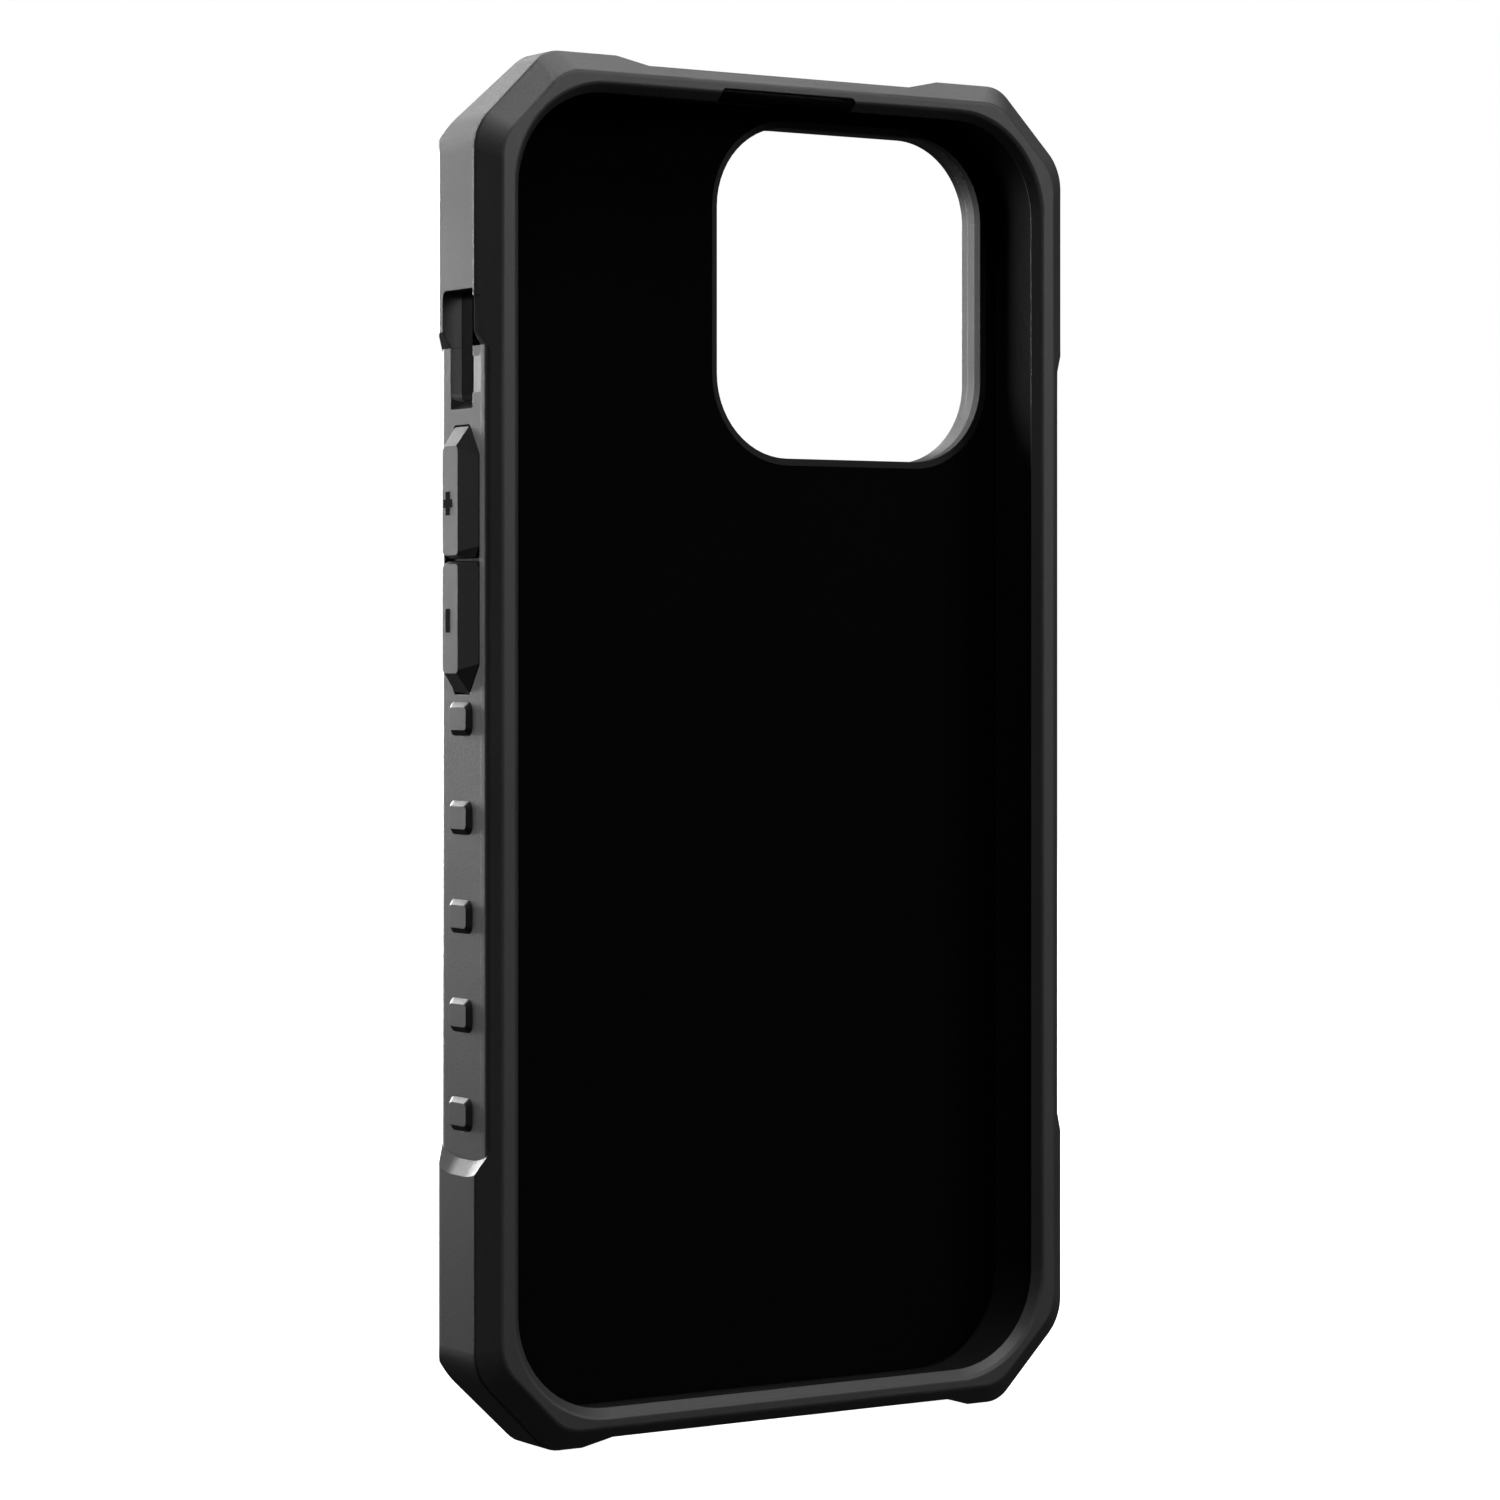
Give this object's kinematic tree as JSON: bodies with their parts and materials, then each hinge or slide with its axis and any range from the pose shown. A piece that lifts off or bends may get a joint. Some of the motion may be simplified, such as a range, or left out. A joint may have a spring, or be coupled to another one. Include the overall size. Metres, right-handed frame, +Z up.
{
  "type": "phone case",
  "caption": "Rugged phone case: soft core in a hard rear shell, raised screen surround, corner bumpers, camera guard and push-through side buttons.",
  "frame": {"origin": "middle of the base that the case stands on, under the middle of its bounding box", "axes": "+X to the side button's side, +Y from the screen side to the back, +Z up to the camera end"},
  "size_m": [0.0792, 0.0134, 0.1532],
  "materials": {
    "soft_core": "matte moulded black",
    "surround": "satin moulded black",
    "bumper": "satin moulded black, fine grain",
    "studs": "satin moulded black",
    "rails": "matte black",
    "hard_shell": "satin black, fine spark-eroded grain",
    "guard": "satin black",
    "lining": "black microfibre nap",
    "button": "satin black"
  },
  "bodies": {
    "case": {"inner_core": "soft_core", "inner_lining": "lining", "rear_shell": "hard_shell", "screen_surround": "surround", "corner_bumper_top_left": "bumper", "corner_bumper_top_right": "bumper", "corner_bumper_bottom_left": "bumper", "corner_bumper_bottom_right": "bumper", "camera_guard": "guard", "rear_skid_rails": "rails", "left_grip_studs": "studs", "right_grip_studs": "studs", "volume_up_web": "soft_core", "volume_down_web": "soft_core", "side_button_web": "soft_core"},
    "volume_up": {"volume_up_button": "button", "volume_up_pusher": "soft_core"},
    "volume_down": {"volume_down_button": "button", "volume_down_pusher": "soft_core"},
    "side_key": {"side_button": "button", "side_button_pusher": "soft_core"}
  },
  "joints": [
    {"name": "volume_up_press", "type": "slide", "parent": "case", "child": "volume_up", "axis": [1, 0, 0], "range_m": [0, 0.00045], "stiffness_N_per_m": 2000},
    {"name": "volume_down_press", "type": "slide", "parent": "case", "child": "volume_down", "axis": [1, 0, 0], "range_m": [0, 0.00045], "stiffness_N_per_m": 2000},
    {"name": "side_button_press", "type": "slide", "parent": "case", "child": "side_key", "axis": [-1, 0, 0], "range_m": [0, 0.00045], "stiffness_N_per_m": 2000}
  ]
}
